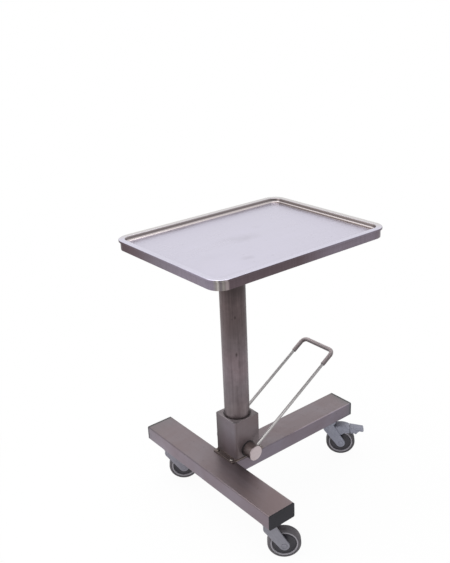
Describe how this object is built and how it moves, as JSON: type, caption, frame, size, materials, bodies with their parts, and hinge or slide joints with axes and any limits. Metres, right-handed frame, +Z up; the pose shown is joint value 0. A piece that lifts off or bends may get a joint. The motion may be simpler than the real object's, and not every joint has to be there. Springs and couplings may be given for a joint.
{
  "type": "mayo table",
  "caption": "Hydraulic mayo table: lift-off steel instrument tray on a telescopic column, U-shaped foot pedal, T-shaped tube base on swivel casters, one of them braked.",
  "frame": {"origin": "on the floor, under the middle of the overall box at rest", "axes": "+X from the column along the stem, +Y along the cross tube, +Z up"},
  "size_m": [0.7766, 0.6524, 0.942],
  "materials": {
    "tube_steel": "satin",
    "tray_steel": "satin",
    "machined_steel": "satin",
    "chrome": "polished",
    "zinc_steel": "satin",
    "bronze": "satin",
    "cap_steel": "satin",
    "black_plastic": "matte",
    "black_rubber": "matte",
    "grey_plastic": "satin",
    "pale_plastic": "satin",
    "dark_plastic": "satin",
    "grey_tyre": "matte"
  },
  "bodies": {
    "base": {"cross_tube": "tube_steel", "stem_tube": "tube_steel", "end_plugs": "black_plastic", "foot_plate": "tube_steel", "foot_screws": "chrome", "pump_housing": "tube_steel", "housing_collar": "tube_steel", "collar_seal": "black_rubber", "pump_body": "machined_steel", "column_tube": "tube_steel", "column_bush": "black_plastic", "hydraulic_cylinder": "machined_steel", "cylinder_gland": "machined_steel", "shaft_bushes": "black_plastic", "pump_barrel": "machined_steel", "front_stem": "zinc_steel", "rear_stem": "zinc_steel", "braked_stem": "zinc_steel", "stem_nuts": "chrome"},
    "foot_pedal": {"pedal_shaft": "machined_steel", "pedal_hubs": "machined_steel", "hub_caps": "cap_steel", "pedal_cam": "machined_steel", "pedal_bar": "chrome", "foot_sleeve": "black_rubber"},
    "plunger": {"pump_plunger": "chrome", "plunger_spring": "chrome"},
    "ram": {"piston": "machined_steel", "piston_rod": "chrome", "thrust_washer": "bronze"},
    "mast": {"mast_tube": "chrome", "mast_bush": "black_plastic", "head_plug": "machined_steel", "head_plate": "tube_steel", "head_screws": "chrome", "tray_rails": "tube_steel", "tray_frame": "tube_steel"},
    "tray": {"tray_pan": "tray_steel"},
    "front_swivel": {"front_fork": "grey_plastic", "front_axle": "zinc_steel"},
    "front_wheel": {"front_rim": "pale_plastic", "front_guards": "dark_plastic", "front_tyre": "grey_tyre"},
    "rear_swivel": {"rear_fork": "grey_plastic", "rear_axle": "zinc_steel"},
    "rear_wheel": {"rear_rim": "pale_plastic", "rear_guards": "dark_plastic", "rear_tyre": "grey_tyre"},
    "braked_swivel": {"braked_fork": "grey_plastic", "braked_axle": "zinc_steel", "brake_pin": "zinc_steel"},
    "braked_wheel": {"braked_rim": "pale_plastic", "braked_guards": "dark_plastic", "braked_tyre": "grey_tyre"},
    "brake": {"brake_pedal": "grey_plastic", "brake_shoe": "black_rubber"}
  },
  "joints": [
    {"name": "lift", "type": "slide", "parent": "base", "child": "ram", "axis": [0, 0, 1], "range_m": [0, 0.4]},
    {"name": "mast_turn", "type": "hinge", "parent": "ram", "child": "mast", "pos_m": [-0.13831, 0.00617, 0.894], "axis": [0, 0, 1], "continuous": true},
    {"name": "tray_lift_off", "type": "slide", "parent": "mast", "child": "tray", "axis": [0, 0, 1], "range_m": [0, 0.08]},
    {"name": "foot_pedal", "type": "hinge", "parent": "base", "child": "foot_pedal", "pos_m": [-0.13831, 0.00617, 0.234], "axis": [0, 1, 0], "range_deg": [0, 26], "stiffness_Nm_per_rad": 6, "springref_deg": -31.51},
    {"name": "pump_stroke", "type": "slide", "parent": "base", "child": "plunger", "axis": [0, 0, 1], "range_m": [0, 0.0173], "deforming": ["plunger_spring"]},
    {"name": "front_swivel", "type": "hinge", "parent": "base", "child": "front_swivel", "pos_m": [-0.23831, -0.25583, 0.134], "axis": [0, 0, 1], "continuous": true},
    {"name": "front_roll", "type": "hinge", "parent": "front_swivel", "child": "front_wheel", "pos_m": [-0.20461, -0.28411, 0.052], "axis": [0.6428, 0.766, 0], "continuous": true},
    {"name": "rear_swivel", "type": "hinge", "parent": "base", "child": "rear_swivel", "pos_m": [-0.23831, 0.26817, 0.134], "axis": [0, 0, 1], "continuous": true},
    {"name": "rear_roll", "type": "hinge", "parent": "rear_swivel", "child": "rear_wheel", "pos_m": [-0.20227, 0.24293, 0.052], "axis": [0.5736, 0.8192, 0], "continuous": true},
    {"name": "braked_swivel", "type": "hinge", "parent": "base", "child": "braked_swivel", "pos_m": [0.28769, 0.00617, 0.134], "axis": [0, 0, 1], "continuous": true},
    {"name": "braked_roll", "type": "hinge", "parent": "braked_swivel", "child": "braked_wheel", "pos_m": [0.3188, -0.02494, 0.052], "axis": [0.7071, 0.7071, 0], "continuous": true},
    {"name": "brake_press", "type": "hinge", "parent": "braked_swivel", "child": "brake", "pos_m": [0.33435, -0.04049, 0.10783], "axis": [0.7071, 0.7071, 0], "range_deg": [0, 10]}
  ],
  "couplings": [
    {"joint": "pump_stroke", "follows": "foot_pedal", "m_per_rad": 0.037675}
  ]
}
